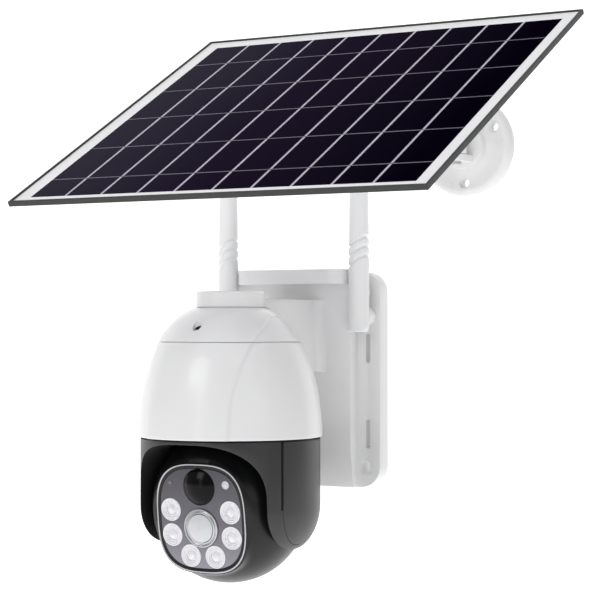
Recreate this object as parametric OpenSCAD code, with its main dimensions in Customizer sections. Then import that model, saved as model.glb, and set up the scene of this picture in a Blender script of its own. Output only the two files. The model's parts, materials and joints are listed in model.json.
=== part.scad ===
// Solar-powered pan and tilt security camera with its wall bracket and its panel bracket.
// Origin: centre of the wall plate's back face. The wall is the plane y = 0, the front is -Y, +Z is up.

/* [Wall plate] */
// Width of the wall plate
plate_w = 112; // [108:1:120]
// Height of the wall plate
plate_h = 133; // [132:1:140]
// Thickness of the wall plate
plate_t = 11; // [10:0.5:12]
// Corner radius of the wall plate
plate_corner_r = 13; // [8:1:15]
// Width of a strap slot
slot_w = 3.2; // [2.5:0.1:4]
// Length of a strap slot
slot_len = 19; // [14:1:22]
// Width of an oval screw hole
oval_w = 5.4; // [4.5:0.1:6]
// Length of an oval screw hole
oval_len = 8.6; // [7:0.1:10]

/* [Arm housing] */
// Width of the front block and of its roof lip
block_w = 80; // [78:1:80]
// How far the block stands in front of the plate
block_t = 8; // [7:0.5:9]
// Width of the arm that carries the camera
arm_w = 35; // [30:1:38]
// Distance of the pan axis from the wall
reach = 95; // [93:1:100]

/* [Camera head] */
// Radius of the shroud at its rim
shroud_r = 55.5; // [55:0.1:56]
// Wall thickness of the shroud and the cap
skin_t = 2.2; // [1.8:0.1:2.4]
// Radius of the yoke
yoke_r = 53; // [52.6:0.1:53.2]
// Radius of the camera ball
ball_r = 46.1; // [45.8:0.1:46.2]
// How far the camera looks below the horizon at rest
look_down = 7; // [0:1:12]

/* [Antennas] */
// Diameter of an antenna at its foot
antenna_d = 12.8; // [12:0.1:12.8]
// Diameter of an antenna at its tip
antenna_tip_d = 11; // [10:0.1:12]
// Length of an antenna above its pivot
antenna_len = 95; // [85:1:96]

/* [Solar panel] */
// Length of the panel along the wall
panel_l = 250; // [240:1:252]
// Length of the panel along its slope
panel_w = 234; // [220:1:236]
// Thickness of the panel
panel_t = 3; // [2.8:0.1:3.4]
// Slope of the panel at rest
panel_slope = 29; // [25:0.5:32]

/* [Hidden] */
$fn = 64;
// Air between moving pieces, running clearance, clearance of a fixed fit, wall of the mouldings
gap = 0.3;
run = 0.05;
seat = 0.02;
wall = 2.2;

// Heights of the head, from the wall plate's centre
collar_top = 53.3;
cap_top = 44.4;
seam_z = 23.5;
rim_z = -32;
dome_foot = -34;
dome_rise = 80;
dome_power = 2.9;
collar_r = 20.3;
tilt_z = -72;

// Wall plate and arm housing
wing_y = -plate_t;
block_y = wing_y - block_t;
slot_x = 47.9;
slot_z = [19.5, -33.6];
oval_x = 46.3;
oval_z = [54.3, -54.3];
lip_t = 12;
lip_round = 11.9;
lip_low = 59;
lip_top = 68;
arm_top = 49;
screw_x = 29.5;
screw_z = 50;
boss_r = 3;
socket_y = -33;
socket_x = 8;
inlet_r = 3.6;
button_r = 3.3;

// Antennas
antenna_x = 47;
antenna_y = -21.4;
antenna_z = 39.2;
antenna_foot = 9.8;
knuckle_y = block_y - gap;
post_pin_r = 2.5;

// Pan drive
chassis_z = -3;
chassis_t = 3;
deck_z = -25;
deck_t = 3;
spindle_r = 9;
deck_r = 49.6;
chassis_r = 49.4;
chassis_screw_r = 46.5;
gear_m = 0.8;
gear_t = 4;
gear_z = deck_z + deck_t;
spindle_top = chassis_z + chassis_t + 3;
pan_teeth = 60;
pan_pinion_teeth = 15;
pan_motor_x = (pan_teeth + pan_pinion_teeth) * gear_m / 2;
motor_r = 13;
motor_h = 14;
cell_r = 9.1;
cell_z = 12.4;
cell_pitch = 19;
lug_y = -36.3;
screw_seat_z = 28.5;

// Yoke and ball; the yoke is open to the front and to the back through an arch
cavity_r = ball_r + 0.6;
arch_w = 43.2;
arch_h = 37.4;
arm_half = sqrt(pow(yoke_r, 2) - pow(arch_w, 2));
arm_drop = 26.2;
round_x = 17.8;
cover_t = 1.6;
cover_screw_z = [-8, 18];
cover_y = 21.6;
cover_gap = 1.1;
face_y = -33;
face_w = 61.4;
face_h = 65.2;
face_power = 3;
face_drop = 2;
face_reach = 50.2;
sweep_r = 48.7;
face_sweep_w = 64;
pivot_r = 5;
ball_seam_y = 8;
shell_t = 2.4;
sun_teeth = 40;
tilt_pinion_teeth = 12;
tilt_pinion_phase = 180 / tilt_pinion_teeth;
tilt_motor_y = (sun_teeth + tilt_pinion_teeth) * gear_m / 2;
sun_x = 28;

// Lenses in the face, as [across, up]
lens_up = 16.4;
pir_up = -7.5;
led_spots = [for (side = [-1, 1]) for (p = [[20.1, 2.5], [20.1, -12.3], [8.3, -24]]) [side * p[0], p[1]]];
led_r = 6.7;
lens_r = 10.5;
pir_r = 11.3;
pir_lens_r = 8.2;
sensor_spot = [-19.6, 18.6];
status_spot = [18, 18.3];

// Panel bracket: swing pin S on the flange, turn pin T, tilt pin P
flange_x = 111.3;
flange_z = 141.4;
flange_r = 30.2;
flange_pcd = 44;
flange_hole_r = 2.5;
swing_p = [flange_x, -23, flange_z];
turn_p = [73.6, -114.5, flange_z];
tilt_p = [73.6, -130, flange_z];
arm_run = sqrt(pow(swing_p[0] - turn_p[0], 2) + pow(swing_p[1] - turn_p[1], 2));
arm_yaw = atan2(turn_p[1] - swing_p[1], turn_p[0] - swing_p[0]);
eye_r = 8;
eye_h = 12;
ear_t = 4;
pin_r = 3;
panel_off = 15.7;
lip_w = 1.5;
base_t = 2;

// ---- shared shapes ----

// Rectangle with round corners, centred
module round_rect(w, h, r) {
    square([w - 2 * r, h], center = true);
    square([w, h - 2 * r], center = true);
    for (x = [-1, 1], y = [-1, 1]) translate([x * (w / 2 - r), y * (h / 2 - r)]) circle(r);
}

// Upright slot outline, centred
module slot2d(w, l) {
    square([w, l - w], center = true);
    for (s = [-1, 1]) translate([0, s * (l - w) / 2]) circle(w / 2);
}

// Stands a flat outline up in the x-z plane, from y = back to y = front (front < back)
module upright(back, front) {
    translate([0, back, 0]) rotate([90, 0, 0]) linear_extrude(back - front) children();
}

// Cylinder along Y from y = back to y = front
module rod_y(r, back, front) {
    upright(back, front) circle(r);
}

// Cylinder along X, centred at x = 0
module rod_x(r, l) {
    rotate([0, 90, 0]) cylinder(r = r, h = l, center = true);
}

// Places a shape on the pan axis
module head() {
    translate([0, -reach, 0]) children();
}

// Places a shape in the ball's own frame: centre of the ball, looking along -Y
module ball() {
    translate([0, -reach, tilt_z]) rotate([look_down, 0, 0]) children();
}

// Places a shape in the panel's own frame: tilt pin at the origin, panel level above it
module slope() {
    translate(tilt_p) rotate([panel_slope, 0, 0]) children();
}

// Spur gear outline with straight-sided teeth
module gear2d(teeth, bore_r) {
    pitch_r = teeth * gear_m / 2;
    root = pitch_r - 1.15 * gear_m;
    tip = pitch_r + 0.75 * gear_m;
    step = 360 / teeth;
    difference() {
        polygon([for (i = [0 : teeth - 1]) for (p = [[root, -0.33], [tip, -0.12], [tip, 0.12], [root, 0.33]])
            p[0] * [cos(step * (i + p[1])), sin(step * (i + p[1]))]]);
        circle(bore_r);
    }
}

// Radius of the dome at a height
function dome_r(z, inset) = (shroud_r - inset) *
    pow(1 - pow((z - dome_foot) / (dome_rise - inset), 2), 1 / dome_power);

// Half profile of the dome between two heights
function dome_side(low, high, inset) =
    [for (i = [0 : 14]) let (z = low + (high - low) * i / 14) [dome_r(z, inset), z]];

// Solid dome between two heights, drawn in from its outer skin by inset
module dome(low, high, inset) {
    rotate_extrude() polygon(concat([[0, low]], dome_side(low, high, inset), [[0, high]]));
}

// Outline of the face: a square with swollen sides
module face2d(w, h) {
    polygon([for (a = [0 : 6 : 354]) [
        w / 2 * sign(cos(a)) * pow(abs(cos(a)), 2 / face_power),
        h / 2 * sign(sin(a)) * pow(abs(sin(a)), 2 / face_power)]]);
}

// ---- wall unit ----

module wall_plate() color("whitesmoke") difference() {
    upright(0, wing_y) round_rect(plate_w, plate_h, plate_corner_r);
    upright(-3, wing_y - 1) round_rect(block_w - 8, plate_h - 16, 4);
    for (s = [-1, 1]) {
        for (z = slot_z) translate([s * slot_x, 0, z]) upright(1, wing_y - 1) slot2d(slot_w, slot_len);
        for (z = oval_z) translate([s * oval_x, 0, z]) upright(1, wing_y - 1) slot2d(oval_w, oval_len);
        for (t = [-1, 1]) translate([s * screw_x, 0, t * screw_z]) rod_y(1.6, 1, wing_y);
        translate([s * antenna_x, 0, antenna_z]) rod_y(3, 1, wing_y - 1);
    }
}

module plate_gasket() color("dimgray") difference() {
    upright(wing_y + 2, wing_y) round_rect(block_w - 8.2, plate_h - 16.2, 3.9);
    upright(wing_y + 3, wing_y - 1) round_rect(block_w - 13, plate_h - 21, 2.5);
}

// Side profile of the block: a flat front that slants back at its foot
module block_side() {
    rotate([90, 0, 90]) linear_extrude(block_w - 0.6, center = true)
        polygon([[wing_y, -plate_h / 2], [wing_y, lip_top], [block_y, lip_top],
            [block_y, -44], [block_y + 4, -plate_h / 2]]);
}

// Plan of the arm with a fillet where it leaves the block
module arm_plan(half_w, fillet) {
    translate([-half_w, -reach]) square([2 * half_w, reach + block_y + 1]);
    difference() {
        translate([-half_w - fillet, block_y - fillet]) square([2 * (half_w + fillet), fillet + 1]);
        for (s = [-1, 1]) translate([s * (half_w + fillet), block_y - fillet]) circle(fillet);
    }
}

module arm_beam(half_w, top, foot, fillet) intersection() {
    translate([0, 0, -20]) linear_extrude(90) arm_plan(half_w, fillet);
    rotate([90, 0, 90]) linear_extrude(block_w, center = true)
        polygon([[-reach - 1, top], [block_y + 2, top], [block_y + 2, foot], [block_y - 6, foot + 1.5],
            [block_y - 22, foot + 5], [-reach - 1, foot + 8]]);
}

module arm_housing() color("whitesmoke") difference() {
    union() {
        block_side();
        for (s = [-1, 1], t = [-1, 1])
            translate([s * screw_x, 0, t * screw_z]) rod_y(boss_r, -3.05, wing_y - 1);
        translate([0, wing_y, lip_low]) linear_extrude(lip_top - lip_low) difference() {
            translate([0, -lip_t / 2]) round_rect(block_w, lip_t * 2, lip_round);
            translate([-block_w, 0]) square([2 * block_w, block_w]);
        }
        arm_beam(arm_w / 2, arm_top, 4, 6);
        head() translate([0, 0, arm_top - 6]) cylinder(r = collar_r, h = collar_top - arm_top + 5.2);
        head() translate([0, 0, collar_top - 0.8]) cylinder(r1 = collar_r, r2 = collar_r - 0.8, h = 0.8);
    }
    // inside of the block, open at the back
    translate([0, 0, -1]) upright(wing_y + 1, block_y + wall) round_rect(block_w - 20, plate_h - 50, 4);
    for (s = [-1, 1], t = [-1, 1]) translate([s * screw_x, 0, t * screw_z]) rod_y(1.2, 0, block_y + 2);
    // hollow arm, open to the block and to the cap
    arm_beam(arm_w / 2 - wall, arm_top - wall, 4 + wall, 0.5);
    head() translate([0, 0, 20]) cylinder(r = collar_r - 8, h = collar_top - 20 - wall);
    head() dome(seam_z, cap_top + 0.01, -gap);
    head() dome(rim_z, seam_z + 1, -gap);
    head() cap_bolt_places() cylinder(r = 1.25, h = 6, center = true);
    // sockets under the arm
    translate([-socket_x, socket_y, 0]) cylinder(r = inlet_r, h = 16);
    translate([socket_x, socket_y, 0]) cylinder(r = button_r, h = 16);
}

module cover_screws() color("silver")
    for (s = [-1, 1], t = [-1, 1]) translate([s * screw_x, -0.4, t * screw_z]) rotate([90, 0, 0]) {
        cylinder(r = 1.2 - seat, h = 15);
        cylinder(r = 1.6 - seat, h = 2.4);
    }

module antenna_board() color("darkgreen") translate([0, 0, 12])
    upright(-6, -7.6) round_rect(50, 40, 2);

module power_inlet() color("dimgray") translate([-socket_x, socket_y, 5.6]) difference() {
    union() {
        cylinder(r = inlet_r - seat, h = 12);
        translate([0, 0, -1]) cylinder(r = inlet_r + 1, h = 1);
    }
    translate([0, 0, -2]) cylinder(r = 2.75, h = 12);
}

module power_button() color("dimgray") translate([socket_x, socket_y, 4.6]) {
    cylinder(r1 = button_r - 0.6, r2 = button_r - 0.08, h = 0.5);
    translate([0, 0, 0.5]) cylinder(r = button_r - 0.08, h = 8);
}

module antenna_posts() color("white") for (s = [-1, 1]) translate([s * antenna_x, 0, antenna_z]) {
    rod_y(6.4, wing_y, block_y);
    rod_y(3 - seat, wing_y + 5, wing_y);
    rod_y(post_pin_r, block_y, block_y - 7);
}

module antenna(side) color("white") translate([side * antenna_x, antenna_y, antenna_z]) difference() {
    union() {
        translate([0, 0, -antenna_foot]) cylinder(d = antenna_d, h = antenna_foot + 45);
        translate([0, 0, 45]) cylinder(d1 = antenna_d - 0.4, d2 = antenna_tip_d, h = antenna_len - 47);
        translate([0, 0, antenna_len - 2])
            cylinder(d1 = antenna_tip_d, d2 = antenna_tip_d - 2.5, h = 2);
    }
    translate([-10, knuckle_y - antenna_y, -20]) cube([20, 20, 20 + 12.5]);
    rod_y(post_pin_r + run, 10, block_y - 7.3 - antenna_y);
    // round outer corner of the foot
    translate([side * -1, 0, -antenna_foot + 5]) difference() {
        translate([side * 5, 0, -5]) cube([10, 20, 10], center = true);
        rod_y(7.4, 12, -12);
    }
}

module antenna_left() antenna(-1);
module antenna_right() antenna(1);

// ---- fixed part of the camera head ----

module cap_bolt_places() for (a = [30, 150, 270]) rotate(a) translate([16, 0, cap_top]) children();

module cap() color("whitesmoke") head() difference() {
    union() {
        difference() {
            dome(seam_z + 0.15, cap_top, 0);
            dome(seam_z - 1, cap_top - wall, skin_t);
        }
        intersection() {
            dome(seam_z + 0.15, cap_top, 1);
            translate([0, lug_y, seam_z]) cylinder(r = 4, h = 20);
        }
    }
    translate([0, 0, cap_top - 5]) cylinder(r = 8, h = 10);
    cap_bolt_places() cylinder(r = 1.5, h = 10, center = true);
    cap_bolt_places() translate([0, 0, -wall - 6]) cylinder(r = 2.7, h = 6);
    translate([0, lug_y, screw_seat_z]) cylinder(r = 2.8, h = 20);
    translate([0, lug_y, 20]) cylinder(r = 1.6, h = 20);
    // window for the arm
    translate([-arm_w / 2 + 3, 20, 26]) cube([arm_w - 6, 40, 12]);
}

module cap_screw() color("silver") head() translate([0, lug_y, screw_seat_z + 0.01]) {
    cylinder(r = 2.6, h = 2.2);
    translate([0, 0, -12]) cylinder(r = 1.6 - seat, h = 12);
}

module cap_bolts() color("silver") head() cap_bolt_places() translate([0, 0, -wall - 2]) {
    cylinder(r = 1.25 - seat, h = 7);
    cylinder(r = 2.6, h = 2);
}

module shroud() color("whitesmoke") head() {
    difference() {
        dome(rim_z, seam_z, 0);
        dome(rim_z - 1, seam_z + 1, skin_t);
    }
    // lug for the cap screw
    difference() {
        intersection() {
            dome(seam_z - 9, seam_z - 0.1, 1);
            union() {
                translate([0, lug_y, 0]) cylinder(r = 4, h = 40);
                translate([-2, lug_y - 20, 0]) cube([4, 20, 40]);
            }
        }
        translate([0, lug_y, 0]) cylinder(r = 1.6, h = 40);
    }
    // ledge that the chassis is screwed to
    difference() {
        translate([0, 0, chassis_z - 3]) cylinder(r = dome_r(chassis_z, skin_t / 2), h = 3);
        translate([0, 0, chassis_z - 4]) cylinder(r = chassis_screw_r - 2.2, h = 5);
        translate([0, 0, chassis_z - 1]) chassis_screw_places() cylinder(r = 1.2, h = 5, center = true);
    }
}

module rim_seal() color("black") head() translate([0, 0, rim_z + 3]) difference() {
    cylinder(r = dome_r(rim_z + 5, skin_t) - 0.05, h = 2);
    translate([0, 0, -1]) cylinder(r = 50.4, h = 4);
}

module chassis_screw_places() for (a = [20 : 60 : 320])
    rotate(a) translate([chassis_screw_r, 0, 0]) children();

module chassis() color("gainsboro") head() difference() {
    translate([0, 0, chassis_z]) cylinder(r = chassis_r, h = chassis_t);
    translate([0, 0, chassis_z - 1]) cylinder(r = spindle_r + 4, h = 10);
    translate([pan_motor_x, 0, chassis_z - 1]) cylinder(r = 3, h = 10);
    chassis_screw_places() cylinder(r = 1.25, h = 20, center = true);
}

module chassis_screws() color("silver") head() chassis_screw_places()
    translate([0, 0, chassis_z + chassis_t]) {
        translate([0, 0, -5.8]) cylinder(r = 1.2 - seat, h = 7);
        cylinder(r = 2.2, h = 1.2);
    }

module battery_cells() color("steelblue") head()
    for (y = cell_pitch * [-1, 0, 1]) translate([0, y, cell_z]) rod_x(cell_r, 65);

module battery_holder() color("dimgray") head() difference() {
    for (x = [-29, 29]) translate([x, 0, chassis_z + chassis_t + 4.01]) cube([4, 50, 8], center = true);
    for (y = cell_pitch * [-1, 0, 1]) translate([0, y, cell_z]) rod_x(cell_r + seat, 80);
}

module main_board() color("darkgreen") head() translate([0, 0, seam_z + 0.6]) difference() {
    cylinder(r = 35, h = 1.6);
    translate([0, 0, -1]) cylinder(r = 3, h = 4);
    translate([0, lug_y, -1]) cylinder(r = 4.5, h = 4);
}

module pan_motor() color("silver") head() translate([pan_motor_x, 0, chassis_z]) {
    translate([0, 0, -motor_h]) cylinder(r = motor_r, h = motor_h);
    translate([0, 0, gear_z + 0.3 - chassis_z]) cylinder(r = 1.5, h = chassis_z - motor_h - gear_z);
}

module pan_bearing() color("silver") head() difference() {
    union() {
        translate([0, 0, chassis_z - 8]) cylinder(r = spindle_r + 4 - seat, h = 8 + chassis_t);
        translate([0, 0, chassis_z - 3]) cylinder(r = spindle_r + 6, h = 3);
    }
    translate([0, 0, chassis_z - 9]) cylinder(r = spindle_r + run, h = 20);
}

// ---- pan drive and yoke ----

module pan_pinion() color("ivory") head() translate([pan_motor_x, 0, gear_z + 0.3])
    linear_extrude(gear_t - 0.6) gear2d(pan_pinion_teeth, 1.5 + run);

module pan_gear() color("ivory") head() translate([0, 0, gear_z]) linear_extrude(gear_t)
    gear2d(pan_teeth, spindle_r + seat);

module pan_spindle() color("silver") head() difference() {
    translate([0, 0, deck_z]) cylinder(r = spindle_r, h = spindle_top - deck_z);
    translate([0, 0, deck_z - 1]) cylinder(r = spindle_r - 2.5, h = 40);
}

module spindle_nut() color("silver") head() translate([0, 0, spindle_top - 2.7]) difference() {
    cylinder(r = spindle_r + 4, h = 2.5, $fn = 6);
    translate([0, 0, -1]) cylinder(r = spindle_r + seat, h = 5);
}

// Outside of the yoke: upright wall, then drawn in round the foot
module yoke_body(inset, top) {
    foot_r = yoke_r - round_x - inset;
    rotate_extrude() polygon(concat([[0, top], [yoke_r - inset, top]],
        [for (a = [0 : 5 : 60]) [round_x + foot_r * cos(a), tilt_z - foot_r * sin(a)]],
        [[0, tilt_z - foot_r * sin(60)]]));
}

// Side view of the yoke: full above the tilt axis, a round lobe below it
module yoke_side() {
    rotate([90, 0, 90]) linear_extrude(2 * yoke_r + 2, center = true) polygon(concat(
        [[yoke_r + 1, 0], [yoke_r + 1, yoke_r], [-yoke_r - 1, yoke_r], [-yoke_r - 1, 0]],
        [for (a = [180 : 7.5 : 360]) [arm_half * cos(a), arm_drop * sin(a)]]));
}

module yoke_frame() color([0.12, 0.12, 0.13]) head() difference() {
    union() {
        intersection() {
            yoke_body(0, rim_z - 1);
            translate([0, 0, tilt_z]) yoke_side();
        }
        translate([0, 0, rim_z - 1.5]) cylinder(r = deck_r, h = deck_z + deck_t - rim_z + 1.5);
    }
    // room for the ball, for its face and for the view through the front
    translate([0, 0, tilt_z]) {
        sphere(r = cavity_r);
        intersection() {
            sphere(r = sweep_r);
            translate([-face_sweep_w / 2, -60, -60]) cube([face_sweep_w, 68, 103]);
        }
        upright(60, -60) face2d(2 * arch_w, 2 * arch_h);
        translate([-arch_w, -60, -60]) cube([2 * arch_w, 120, 60]);
        rod_x(pivot_r + seat, 120);
        for (s = [-1, 1], z = cover_screw_z) translate([s * yoke_r, 0, z]) rod_x(1.2, 13);
    }
    for (s = [-1, 1]) cover_seat(s, 0.1, 0.1, cover_gap);
    translate([0, 0, deck_z - 8]) cylinder(r = spindle_r + seat, h = 20);
}

// Skin of the yoke under a side cover; slack widens the upper part into a groove
module cover_seat(side, depth, ease, slack) intersection() {
    difference() {
        yoke_body(-1, rim_z);
        yoke_body(cover_t + depth, rim_z + 1);
    }
    translate([side * yoke_r, 0, tilt_z]) {
        rod_x(cover_y + ease, 60);
        translate([0, 0, 25]) cube([60, 2 * (cover_y + ease + slack), 50], center = true);
    }
}

module side_cover(side) color([0.16, 0.16, 0.17]) head() intersection() {
    cover_seat(side, -0.05, -0.2, -0.3);
    yoke_body(0, rim_z - 1.2);
}

module side_cover_left() side_cover(-1);
module side_cover_right() side_cover(1);

module yoke_screws() color("silver") head() for (s = [-1, 1], z = cover_screw_z)
    translate([s * (yoke_r - cover_t - 3), 0, tilt_z + z]) rod_x(1.2 - seat, 3.2);

module tilt_pivots() color("silver") head() translate([0, 0, tilt_z]) for (s = [-1, 1])
    translate([s * 43.5, 0, 0]) rod_x(pivot_r, 14);

module sun_gear() color("ivory") head() translate([sun_x, 0, tilt_z]) rotate([0, 90, 0]) {
    rotate(90 + look_down) linear_extrude(gear_t) gear2d(sun_teeth, 1);
    cylinder(r = 3, h = 36.5 - sun_x);
}

// ---- camera ball ----

// Lowers the face on the ball
module face() translate([0, 0, -face_drop]) children();

// Skin of the ball: a sphere with a flat face in a raised square front
module ball_skin(inset) {
    intersection() {
        rotate(90) sphere(r = ball_r - inset);
        translate([0, 100 + face_y + inset, 0]) cube(200, center = true);
    }
    intersection() {
        face() upright(0, face_y + inset) face2d(face_w - 2 * inset, face_h - 2 * inset);
        rotate(90) sphere(r = face_reach - inset);
    }
}

module ball_front() color([0.1, 0.1, 0.11]) ball() difference() {
    intersection() {
        ball_skin(0);
        translate([0, ball_seam_y - 50.05, 0]) cube([100, 100, 100], center = true);
    }
    ball_skin(shell_t);
    // recess for the window and groove for the bright ring round it
    face() upright(0, face_y - 2) face2d(face_w - 6.6, face_h - 6.6);
    face() upright(face_y + 1.5 + seat, face_y - 2) bezel2d(seat);
    for (s = [-1, 1]) translate([s * ball_r, 0, 0]) rod_x(pivot_r + run, 20);
}

module ball_rear() color([0.1, 0.1, 0.11]) ball() difference() {
    intersection() {
        ball_skin(0);
        translate([0, ball_seam_y + 50.05, 0]) cube([100, 100, 100], center = true);
    }
    ball_skin(shell_t);
    for (x = [-1, 1], z = [-1, 1]) translate([x * 22, 0, z * 22]) rod_y(1.25, 60, 0);
}

module ball_screws() color("silver") ball() for (x = [-1, 1], z = [-1, 1])
    translate([x * 22, 0, z * 22]) rod_y(1.25 - seat, 33.2, 20);

// Outline of the bright ring, widened on both sides by ease
module bezel2d(ease) difference() {
    face2d(face_w - 1.6 + 2 * ease, face_h - 1.6 + 2 * ease);
    face2d(face_w - 3.2 - 2 * ease, face_h - 3.2 - 2 * ease);
}

module bezel_ring() color("silver") ball() face() upright(face_y + 1.5, face_y - 0.3) bezel2d(0);

// Places of the lenses in the face
module lens_place() translate([0, 0, lens_up]) children();
module pir_place() translate([0, 0, pir_up]) children();
module led_places() for (p = led_spots) translate([p[0], 0, p[1]]) children();
module sensor_places() {
    translate([sensor_spot[0], 0, sensor_spot[1]]) rod_y(1.3, face_y + 1, face_y - 0.4);
    translate([status_spot[0], 0, status_spot[1]]) rod_y(2.4, face_y + 1, face_y - 0.4);
}

module window() color([0.35, 0.34, 0.4]) ball() difference() {
    face() upright(face_y + 2, face_y) face2d(face_w - 6.7, face_h - 6.7);
    lens_place() rod_y(lens_r + 0.05, 0, -60);
    pir_place() rod_y(pir_r + 0.05, 0, -60);
    led_places() rod_y(led_r + 0.05, 0, -60);
    translate([sensor_spot[0], 0, sensor_spot[1]]) rod_y(1.35, 0, -60);
    translate([status_spot[0], 0, status_spot[1]]) rod_y(2.45, 0, -60);
}

module led_lenses() color("white") ball() led_places() {
    rod_y(led_r, face_y + 1.5, face_y + 0.3);
    rod_y(led_r - 1.5, face_y + 3, face_y + 1.5);
}

module led_board() color("darkgreen") ball() difference() {
    face() upright(face_y + 4.8, face_y + 3.2) face2d(face_w - 8, face_h - 8);
    lens_place() rod_y(8, 0, -60);
    pir_place() rod_y(5, 0, -60);
}

module lens_dome() color("black") ball() lens_place() difference() {
    intersection() {
        translate([0, face_y + 12.3, 0]) sphere(r = 16.3);
        rod_y(lens_r, face_y + 2, face_y - 10);
    }
    intersection() {
        translate([0, face_y + 12.3, 0]) sphere(r = 15.1);
        rod_y(lens_r - 1.2, face_y + 3, face_y - 10);
    }
}

module lens_barrel() color([0.15, 0.15, 0.16]) ball() lens_place() rod_y(6, face_y + 14, face_y + 1.5);

module sensor_board() color("darkgreen") ball() lens_place() upright(face_y + 15.8, face_y + 14.1)
    square([20, 16], center = true);

module pir_ring() color("silver") ball() pir_place() difference() {
    rod_y(pir_r, face_y + 2, face_y - 1.2);
    rod_y(pir_lens_r + 0.05, face_y + 3, face_y - 3);
}

module pir_lens() color("white") ball() pir_place() intersection() {
    translate([0, face_y + 22, 0]) sphere(r = 25);
    rod_y(pir_lens_r, face_y + 1.6, face_y - 10);
}

module light_sensors() color("gray") ball() sensor_places();

module tilt_motor() color("silver") ball() translate([0, tilt_motor_y, 0]) {
    translate([13, 0, 0]) rod_x(9, 20);
    translate([(sun_x + 13) / 2 + 1.8, 0, 0]) rod_x(1.2, sun_x - 9.6);
}

module tilt_pinion() color("ivory") ball() translate([sun_x + 0.3, tilt_motor_y, 0]) rotate([0, 90, 0])
    rotate(tilt_pinion_phase) linear_extrude(gear_t - 0.6) gear2d(tilt_pinion_teeth, 1.2 + run);

module speaker() color([0.2, 0.2, 0.2]) ball() translate([-12, 12, -24]) cylinder(r = 10, h = 5);

// ---- panel bracket ----

module panel_flange() color("whitesmoke") {
    translate([flange_x, 0, flange_z]) difference() {
        rotate([90, 0, 0]) rotate_extrude() polygon(concat([[0, 0], [flange_r - 1, 0], [flange_r, 1]],
            [for (a = [0 : 15 : 90]) [flange_r - 4 + 4 * cos(a), 4 + 4 * sin(a)]],
            [[flange_r - 8, 6.5], [14, 6.5], [13.5, 12.5], [0, 12.5]]));
        for (a = [30, 150, 270]) rotate([0, -a, 0]) translate([flange_pcd / 2, 0, 0]) {
            rod_y(flange_hole_r, 1, -20);
            rod_y(3.4, -5.5, -20);
        }
    }
    translate(swing_p) {
        for (s = [-1, 1]) translate([0, 0, s * (eye_h / 2 + gap + ear_t / 2)]) difference() {
            union() {
                cylinder(r = eye_r, h = ear_t, center = true);
                translate([-eye_r, 0, -ear_t / 2]) cube([2 * eye_r, 10.6, ear_t]);
            }
            cylinder(r = pin_r + seat, h = 10, center = true);
        }
    }
}

// Headed pin along Z through a joint of the bracket
module bracket_pin(l) {
    cylinder(r = pin_r, h = l, center = true);
    for (s = [-1, 1]) translate([0, 0, s * (l / 2 + 0.8)]) cylinder(r = pin_r + 2, h = 1.6, center = true);
}

module swing_pin() color("silver") translate(swing_p) bracket_pin(eye_h + 2 * gap + 2 * ear_t);

module turn_pin() color("silver") translate(turn_p) bracket_pin(eye_h + 2 * gap + 2 * ear_t);

module panel_arm() color("whitesmoke") difference() {
    union() {
        for (p = [swing_p, turn_p]) translate(p) cylinder(r = eye_r, h = eye_h, center = true);
        translate(turn_p) rotate([0, 0, arm_yaw]) rotate([0, -90, 0]) cylinder(r = 5.5, h = arm_run);
    }
    for (p = [swing_p, turn_p]) translate(p) cylinder(r = pin_r + run, h = 20, center = true);
}

module knuckle() color("whitesmoke") difference() {
    union() {
        for (s = [-1, 1]) translate([turn_p[0], turn_p[1], turn_p[2] + s * (eye_h / 2 + gap + ear_t / 2)]) {
            cylinder(r = eye_r, h = ear_t, center = true);
            translate([0, -6.05, 0]) cube([12, 12.1, ear_t], center = true);
        }
        translate([turn_p[0], turn_p[1] - 10.3, turn_p[2]])
            cube([12, 3.6, eye_h + 2 * gap + 2 * ear_t], center = true);
        translate(tilt_p) rod_x(6.5, 14);
    }
    translate(turn_p) cylinder(r = pin_r + seat, h = 40, center = true);
    translate(tilt_p) rod_x(pin_r + run, 40);
}

module tilt_pin() color("silver") translate(tilt_p) {
    rod_x(pin_r, 36);
    translate([-16.6, 0, 0]) rod_x(pin_r + 2.5, 3);
}

module tilt_knob() color([0.12, 0.12, 0.13]) translate(tilt_p) translate([12.5, 0, 0]) rotate([0, 90, 0])
    difference() {
        union() {
            cylinder(r = 6, h = 8);
            for (a = [0 : 60 : 300]) rotate(a) translate([5.6, 0, 0]) cylinder(r = 2, h = 8);
        }
        translate([0, 0, -1]) cylinder(r = pin_r + run, h = 10);
    }

module panel_bracket() color("gainsboro") slope() {
    for (s = [-1, 1]) translate([s * 9.7, 0, 0]) difference() {
        union() {
            rod_x(6.5, ear_t);
            translate([-ear_t / 2, -6.5, 0]) cube([ear_t, 13, panel_off - panel_t / 2 - 0.01]);
        }
        rod_x(pin_r + seat, 20);
    }
    translate([0, 0, panel_off - panel_t / 2 - base_t - 0.01]) linear_extrude(base_t) difference() {
        round_rect(60, 44, 5);
        for (x = [-1, 1], y = [-1, 1]) translate([x * 23, y * 15]) circle(1.8);
    }
}

module bracket_screws() color("silver") slope()
    for (x = [-1, 1], y = [-1, 1]) translate([x * 23, y * 15, panel_off - panel_t / 2 - base_t - 0.02]) {
        cylinder(r = 1.8 - seat, h = 3);
        translate([0, 0, -1.4]) cylinder(r = 3.2, h = 1.4);
    }

// ---- solar panel ----

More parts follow.
